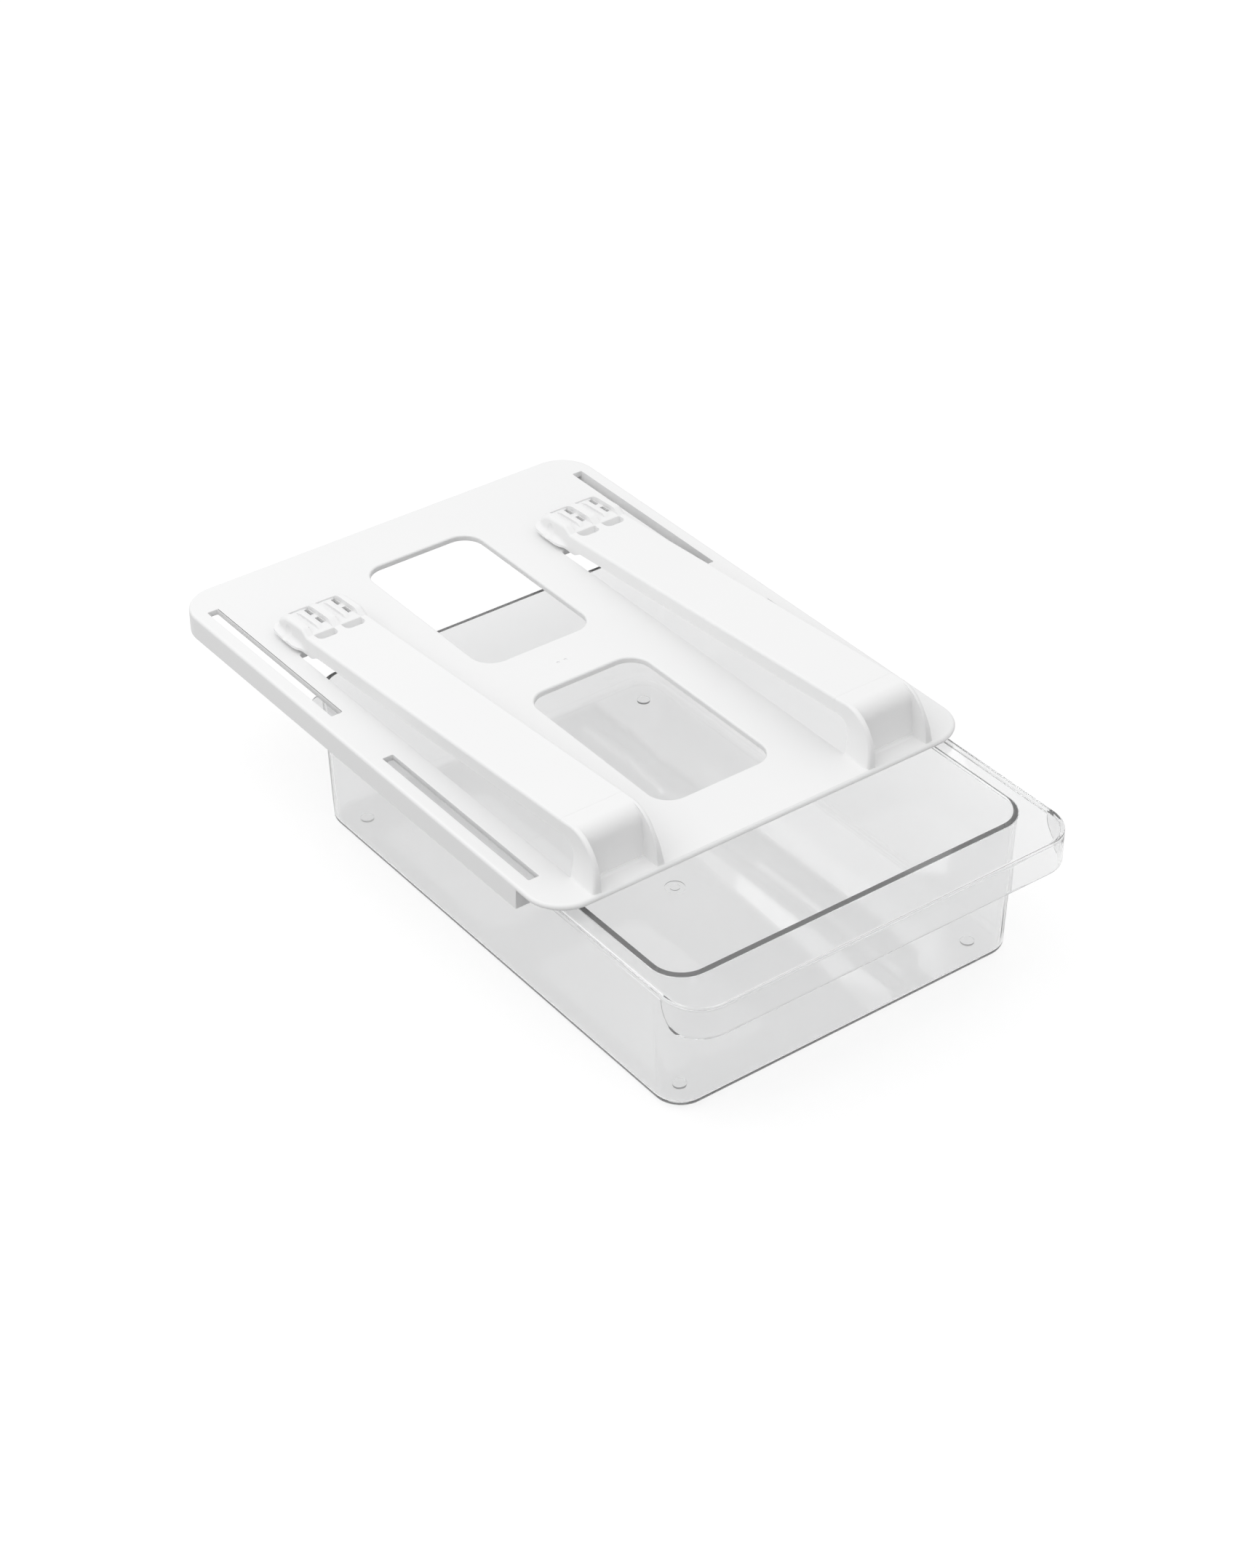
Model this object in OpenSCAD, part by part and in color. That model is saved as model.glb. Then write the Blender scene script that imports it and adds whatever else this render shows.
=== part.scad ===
// Under-shelf refrigerator drawer organizer.
// A white moulded hanger clips over the edge of a shelf with two long spring arms.
// A clear drawer slides on the lips of the hanger's side rails.
// Millimetres. +X is right and +Y is back, seen from the drawer's front; +Z is up.
// The origin is the middle of the hanger plate's top face, where the shelf rests.

/* [Hanger plate] */
// Width of the plate
plate_w = 234; // [230:1:244]
// Length of the plate, front to back
plate_l = 310; // [304:1:330]
// Thickness of the plate, whose outer edge is fully rounded
plate_t = 3.2; // [2.8:0.1:3.6]
// Radius of the plate's corners in plan
plate_r = 19; // [16:1:22]

/* [Windows] */
// Width of the two windows
window_w = 63.4; // [50:0.2:80]
// Length of each window
window_l = 105; // [90:1:110]
// Width of the bar between the windows
bar_w = 31.5; // [24:0.5:40]
// Radius of the windows' corners
window_r = 11; // [6:1:14]
// Radius of the windows' rounded upper edge
window_edge = 1; // [0.4:0.1:1.4]

/* [Shelf clips] */
// Distance from the middle to the centre line of each clip
clip_x = 75.5; // [70:0.5:80]
// Width of a clip's arm
arm_w = 34; // [28:0.5:36]
// Depth of an arm's turned-down sides
arm_depth = 7.5; // [6:0.1:7.8]
// Wall thickness of a clip
skin = 2.4; // [2:0.1:2.8]
// Radius along the arm's upper edges
arm_edge = 1.5; // [0.8:0.1:2]
// Height of the clip's bend above the plate
clip_h = 24.4; // [22:0.2:28]
// Slope of the arm, down towards its tip
arm_slope = 3.8; // [3.4:0.1:4.2]
// Outer radius of the bend at the clip's front
bend_r = 8; // [7.9:0.1:9]
// Setback of the clip's front wall from the plate's front edge
clip_set = 10; // [9:0.5:11]
// Distance from the plate's front edge to the arm's tip
arm_reach = 257; // [245:1:262]
// Width of the slot through the plate under each arm
slot_w = 38.4; // [36:0.2:40]
// Distance from the plate's front edge to the slot's far end
slot_reach = 234; // [225:1:240]

/* [Side rails] */
// Depth of the rails, from the plate's top face
rail_h = 12.5; // [12:0.1:14]
// Width of a rail
rail_w = 7; // [6:0.2:7.4]
// Setback of the rails' front ends from the plate's front edge
rail_set = 27; // [25:0.5:30]
// Thickness of the wall round the back
back_wall = 2.6; // [2:0.1:3]
// Reach of the lips that carry the drawer
lip_w = 5.4; // [5:0.1:5.8]
// Thickness of the lips
lip_t = 2.8; // [2.2:0.1:2.8]
// Where the front lips end, from the plate's front edge
front_lip_end = 139.5; // [130:0.5:145]
// Where the back lips start and end, from the plate's front edge
back_lip = [181.5, 290.5]; // [175:0.5:291]

/* [Drawer] */
// Width of the drawer at its rim
drawer_w = 198.6; // [196:0.2:200]
// Length of the drawer at its rim
drawer_l = 280; // [270:1:284]
// Height of the drawer without its feet
drawer_h = 75; // [60:1:90]
// Radius of the drawer's corners at the rim
drawer_r = 16; // [15:0.5:20]
// Thickness of the drawer's walls and floor
drawer_t = 2.2; // [2:0.1:2.6]
// How far each wall leans in from rim to floor
drawer_taper = 2.4; // [1.5:0.1:3]
// Outer radius along the drawer's bottom edge
bottom_r = 4; // [3:0.5:6]
// How far the drawer is pulled out; 0 is closed
drawer_out = 83; // [0:1:233]

/* [Drawer flange] */
// Width over the side flanges
flange_w = 215.2; // [214:0.2:216]
// Reach of the front flange beyond the rim
flange_front = 22.5; // [18:0.5:26]
// Thickness of the flange
flange_t = 2; // [1.6:0.1:2.2]
// Depth of the flange's turned-down side edge
flange_lip = 3.5; // [3:0.1:3.6]
// Depth of the front skirt, the finger pull
skirt_h = 16.5; // [12:0.5:22]
// How far the skirt runs back round the corners
skirt_wrap = 21; // [18:0.5:24]
// Radius of the flange's front corners
flange_r = 18; // [14:0.5:20]

/* [Hidden] */
$fn = 48;

frame_colour = "whitesmoke";
clear_colour = [0.86, 0.88, 0.89, 0.45];
plate_front = -plate_l / 2;
plate_back = plate_l / 2;
edge_r = plate_t / 2;
bar_y = 1.1;

// The clip, in a side view whose first coordinate runs back from the plate's front edge
wall_lean = 2.1;
bend_y = clip_set + wall_lean + bend_r;
bend_z = clip_h - bend_r;
stub_l = 7.5;
tangent_y = bend_y + bend_r * sin(arm_slope);
tangent_z = bend_z + bend_r * cos(arm_slope);
root_y = tangent_y + stub_l * cos(arm_slope);
root_z = tangent_z - stub_l * sin(arm_slope);
root_drop = [arm_depth * sin(arm_slope), arm_depth * cos(arm_slope)];
wall_fillet = 1.5;
web_front = 1.5;
web_foot = 2;
web_back = 18;
web_fillet = 7.4;
web_edge = 0.6;
web_flare = 2.2;
flare_top = 16;
slot_corner = 2.5;
split_gap = 0.05;

// The arm's tip: a hump on top, flared feet below and a rounded nose, in the same side view
tip_start = arm_reach - 37.5;
tip_proud = 0.04;
hump_start = arm_reach - 28;
hump_l = 6;
hump_h = 3;
crest_y = arm_reach - 9;
nose_fall = 3.6;
nose_fall_l = 10;
foot_drop_l = 7;
foot_gap = 0.9;
foot_t = 1.3;
foot_rise = 2.6;
foot_flare = 3.1;
foot_least = 0.05;
foot_start = arm_reach - 27;
plate_lift = 1.25;
plate_lift_l = 4.3;
nose_lift = 1.2;
nose_lift_l = 10;
nose_r = 4.5;
nose_shrink = 0.35;
nose_edge = 1.8;
nose_edge_l = 14;

// The two pockets in the tip's top, each with a well in front, a fin along its middle and
// four holes in its floor, and the dents in the tip's sides
rib_w = 4;
pocket_w = (arm_w - 3 * rib_w) / 2;
pocket_x = (pocket_w + rib_w) / 2;
pocket_span = [arm_reach - 33.5, arm_reach - 3.5];
pocket_rise = 0.2;
pocket_corner = 3;
well_back = arm_reach - 28.8;
well_depth = 4.2;
well_ramp = 1.2;
well_deck_t = 1.5;
deck_t = 2;
fin_w = 1.8;
fin_front = arm_reach - 25.5;
fin_drop = 1.4;
hole_w = 2;
hole_in = 0.2;
hole_l = 6;
hole_y = [arm_reach - 20.5, arm_reach - 11];
dent_r = 4.5;
dent_depth = 0.9;
dent_y = arm_reach - 12;
dent_z = 7;

// The rails
lip_top = -rail_h + lip_t;
rail_in = plate_w / 2 - rail_w;
lip_in = rail_in - lip_w;
core_w = 2.2;
core_roof = -4.6;
rail_skin = 2.4;

// The marks left by the mould's gates
gate_r = 0.9;
gate_x = 2.1;
gate_depth = 0.35;
floor_gate_r = 4.9;
floor_gate_pin_r = 2.4;

// The drawer, placed so that it is closed when its skirt is flush with the plate
drawer_y = plate_front + flange_front + drawer_l / 2 - drawer_out;
rim_z = lip_top + 0.3 + flange_lip;
floor_z = rim_z - drawer_h;
taper_slope = drawer_taper / drawer_h;
section_in = drawer_r - 4;
flange_back = drawer_l / 2 - 12;
flange_back_r = 6;
foot_r = 3.25;
foot_h = 1;
foot_x = 81.5;
foot_y = 121;

// A rounded rectangle, centred
module round_rect(w, l, r) {
    square([w - 2 * r, l], center = true);
    square([w, l - 2 * r], center = true);
    for (sx = [-1, 1], sy = [-1, 1])
        translate([sx * (w / 2 - r), sy * (l / 2 - r)])
            circle(r);
}

// Carries a section round a rounded rectangle; the section's x points outwards
module sweep_round_rect(w, l, r) {
    for (side = [0 : 3]) {
        across = side % 2 == 0;
        rotate([0, 0, 90 * side])
            translate([(across ? w : l) / 2, 0, 0])
                rotate([90, 0, 0])
                    linear_extrude((across ? l : w) - 2 * r, center = true)
                        children();
    }
    for (corner = [0 : 3]) {
        sx = corner == 0 || corner == 3 ? 1 : -1;
        sy = corner < 2 ? 1 : -1;
        translate([sx * (w / 2 - r), sy * (l / 2 - r), 0])
            rotate([0, 0, 90 * corner])
                rotate_extrude(angle = 90)
                    translate([r, 0])
                        children();
    }
}

// Pushes a side view, drawn as back and up, along +X
module along_x(width) {
    rotate([90, 0, 90])
        linear_extrude(width)
            children();
}

// Pushes a front view, drawn as right and up, along +Y
module along_y(length) {
    translate([0, length, 0])
        rotate([90, 0, 0])
            linear_extrude(length)
                children();
}

// ---- Hanger frame ----

// The flat plate with its rounded outer edge
module plate() {
    translate([0, 0, -plate_t])
        linear_extrude(plate_t)
            round_rect(plate_w - 2 * edge_r, plate_l - 2 * edge_r, plate_r - edge_r);
    sweep_round_rect(plate_w, plate_l, plate_r)
        intersection() {
            translate([-edge_r, -edge_r])
                circle(edge_r);
            translate([-edge_r, -plate_t])
                square([edge_r, plate_t]);
        }
}

// One window through the plate, its upper edge rounded
module window(y) {
    translate([0, y, 0]) {
        translate([0, 0, -plate_t - 1])
            linear_extrude(plate_t + 2)
                round_rect(window_w, window_l, window_r);
        sweep_round_rect(window_w, window_l, window_r)
            difference() {
                translate([-0.5, -window_edge])
                    square([window_edge + 0.5, window_edge + 0.5]);
                translate([window_edge, -window_edge])
                    circle(window_edge);
            }
    }
}

// The long slot under an arm, which runs forward between the clip's webs
module arm_slot() {
    slot_l = slot_reach - web_back;
    translate([0, plate_front + web_back + slot_l / 2, -plate_t - 1])
        linear_extrude(plate_t + 2) {
            round_rect(slot_w, slot_l, slot_corner);
            translate([-slot_w / 2, -slot_l / 2])
                square([slot_w, slot_l / 2]);
            translate([-arm_w / 2 + skin, -slot_l / 2 - web_back + clip_set + skin])
                square([arm_w - 2 * skin, arm_depth]);
        }
}

// The narrow slots over the rail lips, as open as the lips are wide
module lip_slot(start, end) {
    translate([lip_in, plate_front + start, -plate_t - 1])
        cube([lip_w, end - start, plate_t + 2]);
}

// One rail on the right: a cored wall and the two lips that carry the drawer
module rail() {
    wall_l = plate_l - rail_set - plate_r;
    difference() {
        translate([rail_in, plate_front + rail_set, -rail_h])
            cube([rail_w, wall_l, rail_h - edge_r]);
        translate([rail_in + rail_skin, plate_front + rail_set + rail_skin, -rail_h - 1])
            cube([core_w, wall_l - 2 * rail_skin, rail_h + core_roof + 1]);
    }
    for (span = [[rail_set, front_lip_end], back_lip])
        translate([lip_in, plate_front + span[0], -rail_h])
            cube([lip_w + 0.5, span[1] - span[0], lip_t]);
}

// The wall round the back, with its two corners
module back_skirt() {
    for (sx = [-1, 1])
        translate([sx * (plate_w / 2 - plate_r), plate_back - plate_r, -rail_h])
            rotate([0, 0, sx > 0 ? 0 : 90])
                rotate_extrude(angle = 90)
                    translate([plate_r - back_wall, 0])
                        square([back_wall, rail_h - edge_r]);
    translate([-plate_w / 2 + plate_r, plate_back - back_wall, -rail_h])
        cube([plate_w - 2 * plate_r, back_wall, rail_h - edge_r]);
}

// Section of an arm: a shallow channel with rounded upper edges, its top at zero
module channel() {
    difference() {
        union() {
            translate([-arm_w / 2, -arm_depth])
                square([arm_w, arm_depth - arm_edge]);
            translate([-arm_w / 2 + arm_edge, -arm_depth])
                square([arm_w - 2 * arm_edge, arm_depth]);
            for (s = [-1, 1])
                translate([s * (arm_w / 2 - arm_edge), -arm_edge])
                    circle(arm_edge);
        }
        translate([-arm_w / 2 + skin, -arm_depth - 1])
            square([arm_w - 2 * skin, arm_depth - skin + 1]);
    }
}

// Triangles that close a ring of n points, laid like a ladder between its two sides
function ladder(n) = [
    for (j = [0 : n - 1], t = [[j, j + 1, n - 1 - j], [j + 1, n - 2 - j, n - 1 - j]])
        if (t[0] < t[1] && t[1] < t[2]) t];

// Joins rings of points, each with as many as the next, into a closed solid
module loft(rings) {
    n = len(rings[0]);
    last = (len(rings) - 1) * n;
    sides = [
        for (base = [0 : n : last - n], j = [0 : n - 1])
            let (k = (j + 1) % n)
                each [[base + j, base + n + k, base + k], [base + j, base + n + j, base + n + k]]];
    polyhedron(
        [for (ring = rings) each ring],
        concat(ladder(n), sides, [for (t = ladder(n)) [last + t[0], last + t[2], last + t[1]]]));
}

// Half the width over a clip's webs at a height, wider towards the plate
function web_half(z) = arm_w / 2 + web_flare * pow(max(0, 1 - z / flare_top), 1.3);

// One cross-section of the right web, from its back edge to its rounded front edge
function web_ring(back, front, inner_r) =
    let (
        reach = norm(front - back),
        u = (front - back) / reach,
        inner = arm_w / 2 - skin,
        outer = web_half(front[1]),
        flat = concat(
            [[inner, 0]],
            [for (a = [0 : 45 : 90])
                [inner + inner_r * (1 - cos(a)), reach - inner_r * (1 - sin(a))]],
            [for (a = [90 : -18 : 0])
                [outer - arm_edge * (1 - cos(a)), reach - arm_edge * (1 - sin(a))]],
            [[web_half(back[1]), 0]]))
    [for (p = flat) [p[0], back[0] + p[1] * u[0], back[1] + p[1] * u[1]]];

// The web's front runs up a quarter of an ellipse and its back up a fillet under the arm
function web_rings() =
    let (
        step = 7.5,
        straight = 15,
        steep = 90 / (90 - straight),
        mid = [web_back + web_fillet, bend_z - web_fillet])
    concat(
        [web_ring([web_back, -edge_r], [web_front, -edge_r], web_edge)],
        [for (a = [0 : step : 90])
            let (
                front = [
                    bend_y - (bend_y - web_front) * cos(a),
                    web_foot + (clip_h - web_foot) * sin(a)],
                b = 180 - (a - straight) * steep,
                back = a < straight
                    ? [web_back, front[1]]
                    : mid + web_fillet * [cos(b), sin(b)])
            web_ring(back, front, max(0.05, web_edge * cos(a)))],
        [web_ring([root_y, root_z] - root_drop, [root_y, root_z], 0.05)]);

// Side view of a clip's bent front: a leaning wall, a bend and the root of the arm
module bend_outline() {
    polygon([
        [clip_set, -plate_t],
        [clip_set + skin, -plate_t],
        [clip_set + wall_lean + skin, bend_z],
        [clip_set + wall_lean, bend_z]]);
    difference() {
        intersection() {
            translate([bend_y, bend_z])
                circle(bend_r);
            polygon([
                [bend_y, bend_z],
                [clip_set, bend_z],
                [clip_set, clip_h + 1],
                [bend_y + (bend_r + 1) * tan(arm_slope), clip_h + 1]]);
        }
        translate([bend_y, bend_z])
            circle(bend_r - skin);
    }
    polygon([
        [tangent_y, tangent_z],
        [root_y, root_z],
        [root_y - skin * sin(arm_slope), root_z - skin * cos(arm_slope)],
        [tangent_y - skin * sin(arm_slope), tangent_z - skin * cos(arm_slope)]]);
    // Fillet where the wall stands on the plate
    difference() {
        translate([clip_set - wall_fillet, -edge_r])
            square([wall_fillet + skin / 2, edge_r + wall_fillet]);
        translate([clip_set - wall_fillet, wall_fillet])
            circle(wall_fillet);
    }
}

// The bent front of a clip, from the plate up to the root of its arm
module clip_root() {
    translate([0, plate_front, 0]) {
        translate([-arm_w / 2 + skin / 2, 0, 0])
            along_x(arm_w - skin)
                bend_outline();
        for (s = [0, 1])
            mirror([s, 0, 0])
                loft(web_rings());
    }
}

module hanger_frame() {
    color(frame_colour)
        difference() {
            union() {
                difference() {
                    plate();
                    for (s = [-1, 1])
                        translate([s * clip_x, 0, 0])
                            arm_slot();
                }
                for (s = [0, 1])
                    mirror([s, 0, 0])
                        rail();
                back_skirt();
                for (s = [-1, 1])
                    translate([s * clip_x, 0, 0])
                        clip_root();
            }
            for (s = [-1, 1])
                window(bar_y + s * (bar_w + window_l) / 2);
            for (s = [0, 1])
                mirror([s, 0, 0]) {
                    lip_slot(rail_set, front_lip_end);
                    lip_slot(back_lip[0], back_lip[1]);
                }
            for (s = [-1, 1])
                translate([s * gate_x, 0, -gate_depth])
                    cylinder(r = gate_r, h = 1);
        }
}

// ---- Spring arms ----

// Height of the arm's upper side, in the clip's side view
function arm_top(y) = root_z - (y - root_y) * tan(arm_slope);

// An S-curve from 0 to 1
function ease(u) = u <= 0 ? 0 : u >= 1 ? 1 : u * u * (3 - 2 * u);

// The tip's top: it leaves the arm from inside, rises to a crest and falls to the nose
function tip_top(y) = arm_top(y)
    - 1 + ease((y - hump_start + 1) / 2)
    + hump_h * ease((y - hump_start) / hump_l)
    - nose_fall * ease((y - crest_y) / nose_fall_l);

// The tip's underside: it drops from the arm's edge to the foot, then lifts over the plate
// and again at the nose
function tip_bottom(y) =
    let (edge = arm_top(tip_start) - arm_depth + 0.2)
    edge + (foot_gap - edge) * ease((y - tip_start) / foot_drop_l)
        + plate_lift * ease((y - slot_reach + plate_lift_l) / plate_lift_l)
        + nose_lift * ease((y - arm_reach + nose_lift_l) / nose_lift_l);

// One cross-section of the tip; the nose angle draws in its corners and its height
function tip_ring(y, nose) =
    let (
        narrow = nose_r * (1 - cos(nose)),
        half = arm_w / 2 + tip_proud - narrow,
        foot = half + foot_least + foot_flare * ease((y - foot_start) / foot_drop_l),
        mid = (tip_top(y) + tip_bottom(y)) / 2,
        squeeze = 1 - nose_shrink * (1 - cos(nose)),
        low = tip_bottom(y),
        edge = arm_edge + nose_edge * ease((y - arm_reach + nose_edge_l) / nose_edge_l),
        rise = min(foot_rise, tip_top(y) - edge - low - foot_t - 0.3),
        side = concat(
            [[foot, low]],
            [for (a = [0 : 30 : 90])
                [foot - (foot - half) * sin(a), low + foot_t + rise * (1 - cos(a))]],
            [for (a = [0 : 22.5 : 90])
                [half - edge * (1 - cos(a)), tip_top(y) - edge * (1 - sin(a))]]),
        n = len(side))
    [for (j = [0 : 2 * n - 1])
        let (p = j < n ? side[j] : side[2 * n - 1 - j])
        [j < n ? -p[0] : p[0], y, mid + (p[1] - mid) * squeeze]];

function tip_rings() = concat(
    [for (y = [tip_start : 1.5 : hump_start - 1]) tip_ring(y, 0)],
    [for (y = [hump_start : hump_l / 6 : hump_start + hump_l]) tip_ring(y, 0)],
    [for (y = [hump_start + hump_l + 3 : 2.5 : arm_reach - nose_r - 1]) tip_ring(y, 0)],
    [for (a = [0 : 15 : 90]) tip_ring(arm_reach - nose_r + nose_r * sin(a), a)]);

// One pocket in the tip's top, centred on x = 0
module tip_pocket() {
    front = pocket_span[0];
    back = pocket_span[1];
    high = arm_top(front) + hump_h + 1;
    step_y = well_back + well_ramp;
    difference() {
        intersection() {
            translate([-pocket_w / 2, 0, 0])
                along_x(pocket_w)
                    polygon([
                        [front, high],
                        [front, arm_top(front) - well_depth],
                        [well_back, arm_top(well_back) - well_depth],
                        [step_y, arm_top(step_y) + pocket_rise],
                        [back, arm_top(back) + pocket_rise],
                        [back, high]]);
            translate([0, (front + back) / 2, 0])
                linear_extrude(high)
                    round_rect(pocket_w, back - front, pocket_corner);
        }
        translate([-fin_w / 2, 0, 0])
            along_x(fin_w)
                polygon(concat(
                    [[fin_front, 0]],
                    [[fin_front, arm_top(fin_front)]],
                    [for (j = [0 : 6])
                        let (y = fin_front + 3 + (back - fin_front - 2) * j / 6)
                            [y, tip_top(y) - fin_drop]],
                    [[back + 1, 0]]));
    }
    for (side = [-1, 1], y = hole_y)
        translate([side * (pocket_w / 2 - hole_in - hole_w / 2) - hole_w / 2, y, 0])
            cube([hole_w, hole_l, high]);
}

// The hollow under the tip, inside its sides and below its deck
module tip_hollow() {
    inset = skin + 0.15;
    front = pocket_span[0];
    back = arm_reach - nose_r;
    step_y = well_back + well_ramp;
    translate([-arm_w / 2 + inset, 0, 0])
        along_x(arm_w - 2 * inset)
            polygon([
                [tip_start - 2, -1],
                [tip_start - 2, arm_top(tip_start - 2) - inset],
                [front - 3, arm_top(front - 3) - inset],
                [front - 2, arm_top(front - 2) - well_depth - well_deck_t],
                [step_y, arm_top(step_y) - well_depth - well_deck_t],
                [step_y + 2, arm_top(step_y + 2) + pocket_rise - deck_t],
                [back, arm_top(back) + pocket_rise - deck_t],
                [back, -1]]);
}

// An arm with its tip, in the clip's side view
module spring_arm() {
    channel_l = (hump_start + 3 - root_y) / cos(arm_slope);
    translate([0, plate_front, 0])
        difference() {
            union() {
                translate([0, root_y, root_z])
                    rotate([-arm_slope, 0, 0])
                        translate([0, split_gap, 0])
                            along_y(channel_l)
                                channel();
                loft(tip_rings());
            }
            for (s = [-1, 1])
                translate([s * pocket_x, 0, 0])
                    tip_pocket();
            tip_hollow();
            for (s = [-1, 1])
                translate([s * (arm_w / 2 + dent_r - dent_depth), dent_y, dent_z])
                    sphere(dent_r);
        }
}

module clip_arm_left() {
    color(frame_colour)
        translate([-clip_x, 0, 0])
            spring_arm();
}

module clip_arm_right() {
    color(frame_colour)
        translate([clip_x, 0, 0])
            spring_arm();
}

// ---- Drawer ----

// Cut through a wall: it leans in and rounds into the floor. The rim's outside is x = 0.
module wall_section() {
    foot = -drawer_taper - bottom_r * (1 - taper_slope);
    difference() {
        union() {
            polygon([
                [-section_in, 0],
                [foot, 0],
                [foot + bottom_r, bottom_r],
                [0, drawer_h],
                [-section_in, drawer_h]]);
            intersection() {
                translate([foot, bottom_r])
                    circle(bottom_r);
                translate([foot, 0])
                    square([2 * bottom_r, bottom_r]);
            }
        }
        polygon([
            [-section_in - 1, drawer_t],
            [foot, drawer_t],
            [foot + bottom_r - drawer_t, bottom_r],
            [-drawer_t, drawer_h],
            [-drawer_t, drawer_h + 1],
            [-section_in - 1, drawer_h + 1]]);
        translate([foot, bottom_r])
            circle(bottom_r - drawer_t);
    }
}

// Plan of the flange's outer edge, drawn in by a given amount
module flange_plan(inset) {
    w = flange_w - 2 * inset;
    front_l = drawer_l / 2 + flange_front - inset;
    back_l = flange_back - inset;
    translate([0, -front_l / 2]) {
        round_rect(w, front_l, flange_r - inset);
        translate([-w / 2, 0])
            square([w, front_l / 2]);
    }
    translate([0, back_l / 2]) {
        round_rect(w, back_l, flange_back_r - inset);
        translate([-w / 2, -back_l / 2])
            square([w, back_l / 2]);
    }
}

// The turned-down edge of the flange, to a given depth
module flange_edge(depth) {
    translate([0, 0, drawer_h - depth])
        linear_extrude(depth)
            difference() {
                flange_plan(0);
                flange_plan(flange_t);
            }
}

module flange() {
    front = -drawer_l / 2 - flange_front;
    wrap_end = front + skirt_wrap;
    sweep_r = skirt_h - flange_lip;
    translate([0, 0, drawer_h - flange_t])
        linear_extrude(flange_t)
            difference() {
                flange_plan(0);
                round_rect(drawer_w - 2, drawer_l - 2, drawer_r - 1);
            }
    // Side edges, which stop where the tub's back corners begin
    intersection() {
        flange_edge(flange_lip);
        translate([-flange_w, front, 0])
            cube([2 * flange_w, flange_back - front - flange_back_r, drawer_h]);
    }
    // Front skirt, whose ends rise in a curve to the side edges
    intersection() {
        flange_edge(skirt_h);
        translate([-flange_w / 2, 0, drawer_h - skirt_h])
            along_x(flange_w) {
                translate([front, 0])
                    square([skirt_wrap - sweep_r, skirt_h]);
                translate([front, sweep_r])
                    square([skirt_wrap, flange_lip]);
                translate([wrap_end - sweep_r, sweep_r])
                    circle(sweep_r);
            }
    }
}

module feet() {
    for (sx = [-1, 1], sy = [-1, 1])
        translate([sx * foot_x, sy * foot_y, -foot_h])
            cylinder(r = foot_r, h = foot_h + 0.5);
}

module drawer() {
    color(clear_colour)
        translate([0, drawer_y, floor_z])
            difference() {
                union() {
                    sweep_round_rect(drawer_w, drawer_l, drawer_r)
                        wall_section();
                    linear_extrude(drawer_t)
                        round_rect(
                            drawer_w - 2 * section_in + 2,
                            drawer_l - 2 * section_in + 2,
                            drawer_r - section_in + 1);
                    flange();
                    feet();
                }
                translate([0, -flange_front / 2, -1])
                    difference() {
                        cylinder(r = floor_gate_r, h = 1 + gate_depth);
                        cylinder(r = floor_gate_pin_r, h = 1 + gate_depth);
                    }
            }
}

hanger_frame();
clip_arm_left();
clip_arm_right();
drawer();
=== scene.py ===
"""Looks for the under-shelf drawer organizer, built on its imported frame."""
import math

import bmesh
import bpy
from mathutils import Matrix, Vector


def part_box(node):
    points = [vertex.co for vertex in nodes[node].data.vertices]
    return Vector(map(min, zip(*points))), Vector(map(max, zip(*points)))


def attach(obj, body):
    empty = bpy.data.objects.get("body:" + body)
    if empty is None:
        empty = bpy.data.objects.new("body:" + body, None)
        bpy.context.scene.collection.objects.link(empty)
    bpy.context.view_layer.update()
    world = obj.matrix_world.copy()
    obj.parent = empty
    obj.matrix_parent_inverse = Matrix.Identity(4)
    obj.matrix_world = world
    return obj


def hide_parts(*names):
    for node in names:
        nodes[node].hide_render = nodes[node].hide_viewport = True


# ---- Frame ----
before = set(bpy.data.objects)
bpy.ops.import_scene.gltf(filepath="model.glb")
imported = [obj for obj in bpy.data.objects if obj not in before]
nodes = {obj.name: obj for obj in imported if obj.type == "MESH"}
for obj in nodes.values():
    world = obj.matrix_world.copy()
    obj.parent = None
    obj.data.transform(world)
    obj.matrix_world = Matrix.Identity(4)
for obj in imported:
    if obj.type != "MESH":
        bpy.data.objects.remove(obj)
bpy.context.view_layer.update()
scene = bpy.context.scene

# Each white node and the body that it is on
WHITE_NODES = {
    "hanger_frame": "hanger",
    "clip_arm_left": "left_arm",
    "clip_arm_right": "right_arm",
}


# ---- Node helpers ----
def new_tree(owner):
    """Empties a material's or the world's node tree and returns it."""
    owner.use_nodes = True
    owner.node_tree.nodes.clear()
    return owner.node_tree


def add(tree, kind, **values):
    """Adds a node; each value goes to the input of that name, with _ for a space."""
    node = tree.nodes.new(kind)
    for name, value in values.items():
        node.inputs[name.replace("_", " ")].default_value = value
    return node


def math_node(tree, operation, first, second):
    """A Math node of two inputs, each a number or a socket."""
    node = tree.nodes.new("ShaderNodeMath")
    node.operation = operation
    for slot, value in enumerate((first, second)):
        if isinstance(value, (int, float)):
            node.inputs[slot].default_value = value
        else:
            tree.links.new(value, node.inputs[slot])
    return node.outputs[0]


def blend(tree, share, first, second):
    """A Mix Shader node between two shaders."""
    node = tree.nodes.new("ShaderNodeMixShader")
    for slot, value in enumerate((share, first, second)):
        tree.links.new(value, node.inputs[slot])
    return node.outputs[0]


def noise(tree, coordinates, scale, detail):
    """Fractal noise on the given coordinates; returns its value."""
    node = add(tree, "ShaderNodeTexNoise", Scale=scale, Detail=detail)
    tree.links.new(coordinates, node.inputs["Vector"])
    return node.outputs[0]


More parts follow.
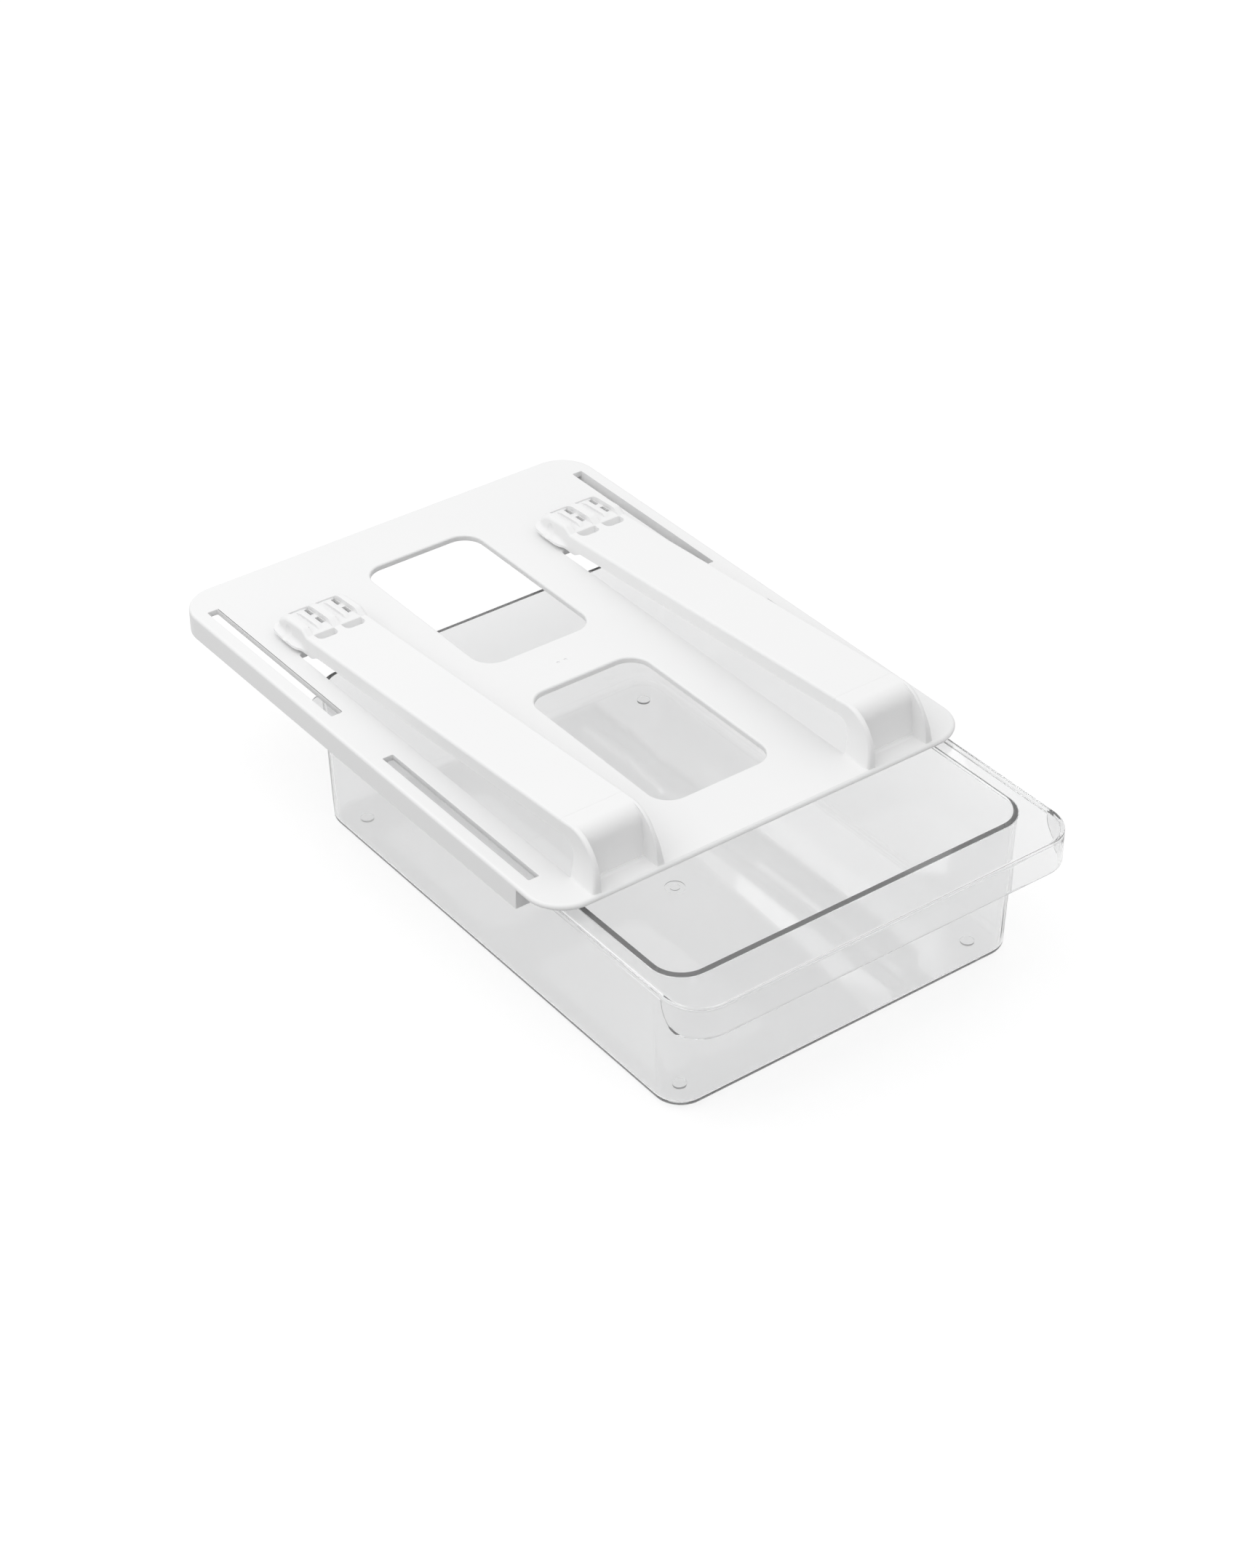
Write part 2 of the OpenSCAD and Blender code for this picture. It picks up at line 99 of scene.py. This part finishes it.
def number_range(tree, value, low, high):
    """Maps 0..1 onto the range between two numbers."""
    node = add(tree, "ShaderNodeMapRange", To_Min=low, To_Max=high)
    tree.links.new(value, node.inputs["Value"])
    return node.outputs["Result"]


def colour_range(tree, value, low, high):
    """Maps 0..1 onto the range between two colours."""
    node = tree.nodes.new("ShaderNodeValToRGB")
    node.color_ramp.elements[0].color = low
    node.color_ramp.elements[1].color = high
    tree.links.new(value, node.inputs["Fac"])
    return node.outputs["Color"]


def bumped(tree, height, shader, strength, distance):
    """Gives a shader a bump; the distance is in metres."""
    bump = add(tree, "ShaderNodeBump", Strength=strength, Distance=distance)
    tree.links.new(height, bump.inputs["Height"])
    tree.links.new(bump.outputs["Normal"], shader.inputs["Normal"])


# ---- Materials ----
def white_plastic():
    """Satin injection-moulded white: a fine moulded grain and faint flow marks."""
    material = bpy.data.materials.new("white_plastic")
    tree = new_tree(material)
    output = add(tree, "ShaderNodeOutputMaterial")
    shader = add(tree, "ShaderNodeBsdfPrincipled", IOR=1.49)
    tree.links.new(shader.outputs["BSDF"], output.inputs["Surface"])
    place = add(tree, "ShaderNodeTexCoord").outputs["Object"]

    flow = noise(tree, place, 14, 3)
    tree.links.new(
        colour_range(tree, flow, (0.85, 0.851, 0.853, 1), (0.872, 0.872, 0.87, 1)),
        shader.inputs["Base Color"])
    tree.links.new(number_range(tree, flow, 0.36, 0.46), shader.inputs["Roughness"])
    bumped(tree, noise(tree, place, 1900, 2), shader, 0.08, 0.0001)
    return material


def clear_plastic():
    """Clear moulded plastic, a little grey through its length, with a slight waviness."""
    material = bpy.data.materials.new("clear_plastic")
    tree = new_tree(material)
    output = add(tree, "ShaderNodeOutputMaterial")
    shader = add(tree, "ShaderNodeBsdfPrincipled", IOR=1.52, Transmission_Weight=0.92)
    tree.links.new(shader.outputs["BSDF"], output.inputs["Surface"])
    place = add(tree, "ShaderNodeTexCoord").outputs["Object"]

    waves = noise(tree, place, 22, 2)
    tree.links.new(
        colour_range(tree, waves, (0.975, 0.977, 0.979, 1), (0.992, 0.993, 0.994, 1)),
        shader.inputs["Base Color"])
    tree.links.new(number_range(tree, waves, 0.01, 0.05), shader.inputs["Roughness"])
    bumped(tree, waves, shader, 0.15, 0.0004)
    absorption = add(
        tree, "ShaderNodeVolumeAbsorption", Color=(0.42, 0.43, 0.44, 1), Density=5.0)
    tree.links.new(absorption.outputs["Volume"], output.inputs["Volume"])
    return material


# ---- Softened copies of the nodes ----
# Lengths are in metres.
WELD = 0.00001
FLAT_ANGLE = math.radians(0.3)
SHARP_ANGLE = math.radians(35)
WHITE_ROUNDING = 0.0004
CLEAR_ROUNDING = 0.0008

# An edge is rounded where its faces are this many roundings wide, and the edges that
# meet it and stay sharp are this many roundings long. Each pass drops the edges next
# to those that the last one dropped.
FACE_ROOM = 2.2
EDGE_ROOM = 1.3
PASSES = 4

# Where each arm was parted from the hanger: its slope, and a point of the cut as y and z
ARM_SLOPE = math.radians(3.8)
SEAM = (-0.12689, 0.02389)
SEAM_GAP = 0.0003
SEAM_LOW = 0.014
# y where the arms' tips start
TIP_START = 0.062


def kept_sharp(name, edge):
    """Whether an edge is in an arm's pocketed tip, or where the arms leave the hanger."""
    if name.startswith("clip_arm") and any(vertex.co.y > TIP_START for vertex in edge.verts):
        return True
    return all(
        abs((vertex.co.y - SEAM[0]) * math.cos(ARM_SLOPE)
            - (vertex.co.z - SEAM[1]) * math.sin(ARM_SLOPE)) < SEAM_GAP
        and vertex.co.z > SEAM_LOW
        for vertex in edge.verts)


def edges_to_round(work, name, width):
    """The sharp edges of a node that have room for a rounding of the given width."""
    chosen = {
        edge for edge in work.edges
        if edge.is_manifold
        and edge.calc_face_angle() > SHARP_ANGLE
        and not kept_sharp(name, edge)
        and all(face.calc_area() > FACE_ROOM * width * edge.calc_length()
                for face in edge.link_faces)}
    for _ in range(PASSES):
        chosen = {
            edge for edge in chosen
            if all(other in chosen or other.calc_length() > EDGE_ROOM * width
                   for vertex in edge.verts for other in vertex.link_edges)}
    return list(chosen)


def softened(name, body, material, width, segments):
    """Stands for a CAD node: the same solid, its sharp edges rounded as a mould does."""
    work = bmesh.new()
    work.from_mesh(nodes[name].data)
    bmesh.ops.remove_doubles(work, verts=work.verts, dist=WELD)
    bmesh.ops.dissolve_limit(
        work, angle_limit=FLAT_ANGLE, verts=work.verts, edges=work.edges)
    bmesh.ops.bevel(
        work, geom=edges_to_round(work, name, width), offset=width, offset_type="OFFSET",
        segments=segments, profile=0.5, affect="EDGES", clamp_overlap=False,
        miter_outer="ARC")
    bmesh.ops.remove_doubles(work, verts=work.verts, dist=WELD)
    low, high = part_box(name)
    for vertex in work.verts:
        vertex.co = [min(max(at, low[i]), high[i]) for i, at in enumerate(vertex.co)]
    for face in work.faces:
        face.smooth = True
    for edge in work.edges:
        edge.smooth = not edge.is_manifold or edge.calc_face_angle() < SHARP_ANGLE

    mesh = bpy.data.meshes.new(name + "_soft")
    work.to_mesh(mesh)
    work.free()
    # The node's own normals don't fit the rounded copy.
    if "custom_normal" in mesh.attributes:
        mesh.attributes.remove(mesh.attributes["custom_normal"])
    mesh.materials.append(material)
    piece = bpy.data.objects.new(name + "_soft", mesh)
    scene.collection.objects.link(piece)
    normals = piece.modifiers.new("normals", "WEIGHTED_NORMAL")
    normals.weight = 80
    normals.keep_sharp = True
    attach(piece, body)
    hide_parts(name)


white = white_plastic()
for name, body in WHITE_NODES.items():
    softened(name, body, white, WHITE_ROUNDING, 2)
softened("drawer", "tray", clear_plastic(), CLEAR_ROUNDING, 3)

# ---- Floor ----
FLOOR_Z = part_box("drawer")[0].z - 0.0002
FLOOR_SIZE = 30
# What the floor reflects: to light that bounces, and to the camera, glass and gloss
FLOOR_GREY = (0.4, 0.4, 0.4, 1)
SEEN_GREY = (0.25, 0.25, 0.25, 1)
# What the floor adds to that for the camera, and for glass and gloss
CAMERA_GLOW = 0.8
THROUGH_GLOW = 0.74


def floor_material():
    """White to the camera, and pale to glass and gloss; it keeps the shadow."""
    material = bpy.data.materials.new("floor")
    tree = new_tree(material)
    output = add(tree, "ShaderNodeOutputMaterial")
    path = add(tree, "ShaderNodeLightPath").outputs
    through = math_node(tree, "MAXIMUM", path["Is Transmission Ray"], path["Is Glossy Ray"])
    seen = math_node(tree, "MAXIMUM", path["Is Camera Ray"], through)

    bounced = add(tree, "ShaderNodeBsdfDiffuse", Color=FLOOR_GREY)
    shown = add(tree, "ShaderNodeBsdfDiffuse", Color=SEEN_GREY)
    glow = add(tree, "ShaderNodeEmission")
    tree.links.new(
        math_node(tree, "MAXIMUM",
                  math_node(tree, "MULTIPLY", path["Is Camera Ray"], CAMERA_GLOW),
                  math_node(tree, "MULTIPLY", through, THROUGH_GLOW)),
        glow.inputs["Strength"])
    lit = tree.nodes.new("ShaderNodeAddShader")
    tree.links.new(blend(tree, seen, bounced.outputs[0], shown.outputs[0]), lit.inputs[0])
    tree.links.new(glow.outputs[0], lit.inputs[1])

    # Open from below, so that the underside can be looked at
    behind = add(tree, "ShaderNodeNewGeometry").outputs["Backfacing"]
    opening = add(tree, "ShaderNodeBsdfTransparent")
    tree.links.new(
        blend(tree, behind, lit.outputs[0], opening.outputs[0]), output.inputs["Surface"])
    return material


bpy.ops.mesh.primitive_plane_add(size=FLOOR_SIZE, location=(0, 0, FLOOR_Z))
floor = bpy.context.object
floor.name = "floor"
floor.data.materials.append(floor_material())

# ---- Light ----
# The world is white to the camera and a little weaker as a light.
WORLD_LIGHT = 0.82
WORLD_SEEN = 1.0

world = bpy.data.worlds.new("studio")
scene.world = world
tree = new_tree(world)
output = add(tree, "ShaderNodeOutputWorld")
background = add(tree, "ShaderNodeBackground", Color=(1, 1, 1, 1))
path = add(tree, "ShaderNodeLightPath").outputs
tree.links.new(
    number_range(tree, path["Is Camera Ray"], WORLD_LIGHT, WORLD_SEEN),
    background.inputs["Strength"])
tree.links.new(background.outputs[0], output.inputs["Surface"])


def soft_box(name, place, size, power):
    """A square area lamp at a place, facing the part; size in metres, power in watts."""
    lamp = bpy.data.lights.new(name, "AREA")
    lamp.shape = "SQUARE"
    lamp.size = size
    lamp.energy = power
    obj = bpy.data.objects.new(name, lamp)
    scene.collection.objects.link(obj)
    obj.location = place
    obj.rotation_euler = (-Vector(place)).to_track_quat("-Z", "Y").to_euler()


soft_box("key", (-0.6, 0.25, 1.3), 1.6, 8.2)
# Its reflection is the light band on the drawer's floor.
soft_box("streak", (0.93, 0.86, 0.92), 0.2, 0.12)

# ---- Camera, as calibrated on the photograph of 1725 x 2156 pixels ----
FRAME_CENTRE_PX = (862.5, 1078.0)
FRAME_HEIGHT_PX = 2156
OPTICAL_CENTRE_PX = (871.95, 1072.98)
FOCAL_PX = 4645
SENSOR_MM = 36
AZIMUTH = math.radians(-36.69)
ELEVATION = math.radians(35.56)
ROLL = math.radians(-0.30)
TARGET = Vector((-0.0055, -0.0632, -0.0300))
DISTANCE = 1.5453

back = Vector((
    math.sin(AZIMUTH) * math.cos(ELEVATION),
    -math.cos(AZIMUTH) * math.cos(ELEVATION),
    math.sin(ELEVATION)))
right = Vector((math.cos(AZIMUTH), math.sin(AZIMUTH), 0))
up = back.cross(right)
rolled_right = math.cos(ROLL) * right + math.sin(ROLL) * up
rolled_up = math.cos(ROLL) * up - math.sin(ROLL) * right
camera = bpy.data.objects.new("camera", bpy.data.cameras.new("camera"))
scene.collection.objects.link(camera)
camera.matrix_world = Matrix.Translation(TARGET + back * DISTANCE) @ Matrix((
    rolled_right, rolled_up, back)).transposed().to_4x4()
camera.data.sensor_fit = "AUTO"
camera.data.sensor_width = SENSOR_MM
camera.data.lens = FOCAL_PX / FRAME_HEIGHT_PX * SENSOR_MM
camera.data.shift_x = (FRAME_CENTRE_PX[0] - OPTICAL_CENTRE_PX[0]) / FRAME_HEIGHT_PX
camera.data.shift_y = (OPTICAL_CENTRE_PX[1] - FRAME_CENTRE_PX[1]) / FRAME_HEIGHT_PX
camera.data.clip_start = 0.05
camera.data.clip_end = 60
scene.camera = camera
scene.view_settings.view_transform = "Standard"
